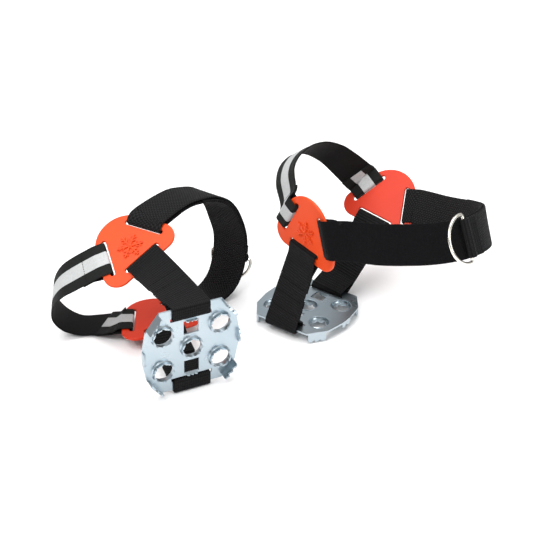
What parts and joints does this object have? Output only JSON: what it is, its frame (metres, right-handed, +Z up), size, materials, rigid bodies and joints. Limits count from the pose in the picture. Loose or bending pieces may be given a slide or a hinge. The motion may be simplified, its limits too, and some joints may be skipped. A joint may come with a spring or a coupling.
{
  "type": "shoe ice cleats",
  "caption": "Pair of strap-on ice cleats: toothed steel tread plates hung from plastic side plates by webbing, with an elastic heel band and a hook-and-loop instep strap with pull ring.",
  "frame": {"origin": "middle of the bottom of the box round both cleats, on the ground", "axes": "+X along the pair, from the right foot's cleat lying on its side to the left foot's cleat standing on its prongs; +Z up; +Y away from the viewer of the pair"},
  "size_m": [0.3472, 0.2222, 0.1361],
  "materials": {
    "zinc_steel": "zinc plated, satin",
    "orange_plastic": "moulded, semi-matt",
    "black_webbing": "ribbed woven",
    "charcoal_elastic": "fine woven elastic",
    "grey_stripe": "reflective weave",
    "black_tape": "hook-and-loop pile",
    "nickel_wire": "bright nickel plate"
  },
  "bodies": {
    "left_plate": {"left_steel_plate": "zinc_steel"},
    "left_medial_strap": {"left_medial_sole_strap": "black_webbing"},
    "left_lateral_strap": {"left_lateral_sole_strap": "black_webbing"},
    "left_harness": {"left_medial_tri_plate": "orange_plastic", "left_lateral_tri_plate": "orange_plastic", "left_heel_elastic": "charcoal_elastic", "left_reflective_stripe": "grey_stripe", "left_instep_strap": "black_webbing", "left_loop_tape": "black_tape"},
    "left_strap_end": {"left_strap_end": "black_webbing", "left_hook_tape": "black_tape", "left_ring_keeper": "black_webbing"},
    "left_ring": {"left_pull_ring": "nickel_wire"},
    "right_plate": {"right_steel_plate": "zinc_steel"},
    "right_medial_strap": {"right_medial_sole_strap": "black_webbing"},
    "right_lateral_strap": {"right_lateral_sole_strap": "black_webbing"},
    "right_harness": {"right_medial_tri_plate": "orange_plastic", "right_lateral_tri_plate": "orange_plastic", "right_heel_elastic": "charcoal_elastic", "right_reflective_stripe": "grey_stripe", "right_instep_strap": "black_webbing", "right_loop_tape": "black_tape"},
    "right_strap_end": {"right_strap_end": "black_webbing", "right_hook_tape": "black_tape", "right_ring_keeper": "black_webbing"},
    "right_ring": {"right_pull_ring": "nickel_wire"}
  },
  "joints": [
    {"name": "left_medial_strap_swing", "type": "hinge", "parent": "left_plate", "child": "left_medial_strap", "pos_m": [0.01218, -0.00832, 0.00855], "axis": [0.7986, -0.6018, 0], "range_deg": [-6, 6]},
    {"name": "left_harness_sway", "type": "hinge", "parent": "left_medial_strap", "child": "left_harness", "pos_m": [0.02778, -0.00742, 0.07297], "axis": [0.7986, -0.6018, 0], "range_deg": [-3.42, 3.42]},
    {"name": "left_lateral_strap_swing", "type": "hinge", "parent": "left_plate", "child": "left_lateral_strap", "pos_m": [0.05172, 0.04415, 0.00855], "axis": [0.7986, -0.6018, 0], "range_deg": [-7.16, 7.16]},
    {"name": "left_strap_end_peel", "type": "hinge", "parent": "left_harness", "child": "left_strap_end", "pos_m": [0.17033, 0.01127, 0.09143], "axis": [-0.0821, 0.3315, 0.9399], "range_deg": [0, 60]},
    {"name": "left_ring_swing", "type": "hinge", "parent": "left_strap_end", "child": "left_ring", "pos_m": [0.14863, -0.04116, 0.10525], "axis": [-0.2461, 0.3801, 0.8916], "range_deg": [0, 140]},
    {"name": "right_medial_strap_swing", "type": "hinge", "parent": "right_plate", "child": "right_medial_strap", "pos_m": [-0.0592, -0.08543, 0.00626], "axis": [0.8988, 0.4384, 0], "range_deg": [0, 8]},
    {"name": "right_harness_sway", "type": "hinge", "parent": "right_medial_strap", "child": "right_harness", "pos_m": [-0.08274, -0.02454, 0.0115], "axis": [0.8988, 0.4384, 0], "range_deg": [-7.59, 0]},
    {"name": "right_lateral_strap_swing", "type": "hinge", "parent": "right_plate", "child": "right_lateral_strap", "pos_m": [-0.0575, -0.08894, 0.07184], "axis": [0.8988, 0.4384, 0], "range_deg": [0, 8.11]},
    {"name": "right_strap_end_peel", "type": "hinge", "parent": "right_harness", "child": "right_strap_end", "pos_m": [-0.05008, 0.04137, 0.10208], "axis": [0.7358, -0.674, 0.0656], "range_deg": [0, 60]},
    {"name": "right_ring_swing", "type": "hinge", "parent": "right_strap_end", "child": "right_ring", "pos_m": [-0.03184, 0.06031, 0.03399], "axis": [0.8899, -0.4525, -0.0566], "range_deg": [0, 140]},
    {"name": "right_cleat_slide", "type": "slide", "parent": "left_plate", "child": "right_plate", "axis": [-1, 0, 0], "range_m": [0, 0.15]}
  ],
  "couplings": [
    {"joint": "left_harness_sway", "follows": "left_medial_strap_swing", "ratio": -0.5625},
    {"joint": "left_lateral_strap_swing", "follows": "left_medial_strap_swing", "ratio": 1.1855},
    {"joint": "right_harness_sway", "follows": "right_medial_strap_swing", "ratio": -0.9426},
    {"joint": "right_lateral_strap_swing", "follows": "right_medial_strap_swing", "ratio": 1.0077}
  ]
}
